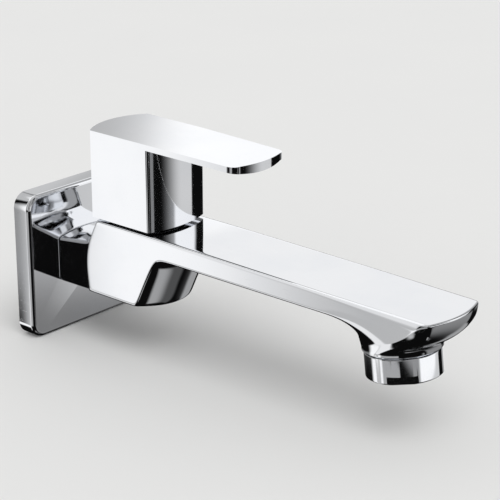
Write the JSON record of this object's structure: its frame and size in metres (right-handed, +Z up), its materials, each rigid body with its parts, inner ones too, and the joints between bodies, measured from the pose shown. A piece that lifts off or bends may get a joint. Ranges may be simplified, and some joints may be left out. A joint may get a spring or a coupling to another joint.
{
  "type": "wall-mounted lever bib tap",
  "caption": "Wall-mounted long-body bib tap with a quarter-turn lever over a flat spout, a square wall flange and an aerated outlet.",
  "frame": {"origin": "on the wall plane and the centre line, in the middle of the flange's bottom rim, 31.5 mm below the inlet axis", "axes": "+Z up, +Y into the wall, so the spout points along -Y; +X to the right of a person who faces the wall"},
  "size_m": [0.065, 0.2251, 0.0961],
  "materials": {
    "chrome_casting": "polished chrome plate on cast brass",
    "chrome_flange": "polished chrome plate",
    "chrome_ring": "polished chrome plate",
    "chrome_lever": "polished chrome plate",
    "bare_brass": "machined",
    "stainless_steel": "machined",
    "ceramic": "lapped",
    "black_rubber": "matte",
    "black_plastic": "satin",
    "white_plastic": "satin",
    "grey_plastic": "satin"
  },
  "bodies": {
    "tap": {"tap_body": "chrome_casting", "wall_flange": "chrome_flange", "wall_gasket": "black_rubber", "headwork_housing": "bare_brass", "housing_washer": "black_rubber", "glide_ring": "black_plastic", "seat_seal": "black_rubber", "fixed_disc": "ceramic", "friction_washer": "white_plastic", "aerator_housing": "chrome_ring", "aerator_washer": "black_rubber", "aerator_screen": "stainless_steel", "aerator_cage": "white_plastic", "aerator_grille": "white_plastic"},
    "lever": {"lever_handle": "chrome_lever", "spline_insert": "white_plastic", "grub_screw": "stainless_steel", "screw_plug": "grey_plastic", "spindle": "bare_brass", "moving_disc": "ceramic", "spindle_oring_lower": "black_rubber", "spindle_oring_upper": "black_rubber", "circlip": "stainless_steel"}
  },
  "joints": [
    {"name": "lever_turn", "type": "hinge", "parent": "tap", "child": "lever", "pos_m": [0, -0.0484, 0.0315], "axis": [0, 0, 1], "range_deg": [0, 90]}
  ]
}
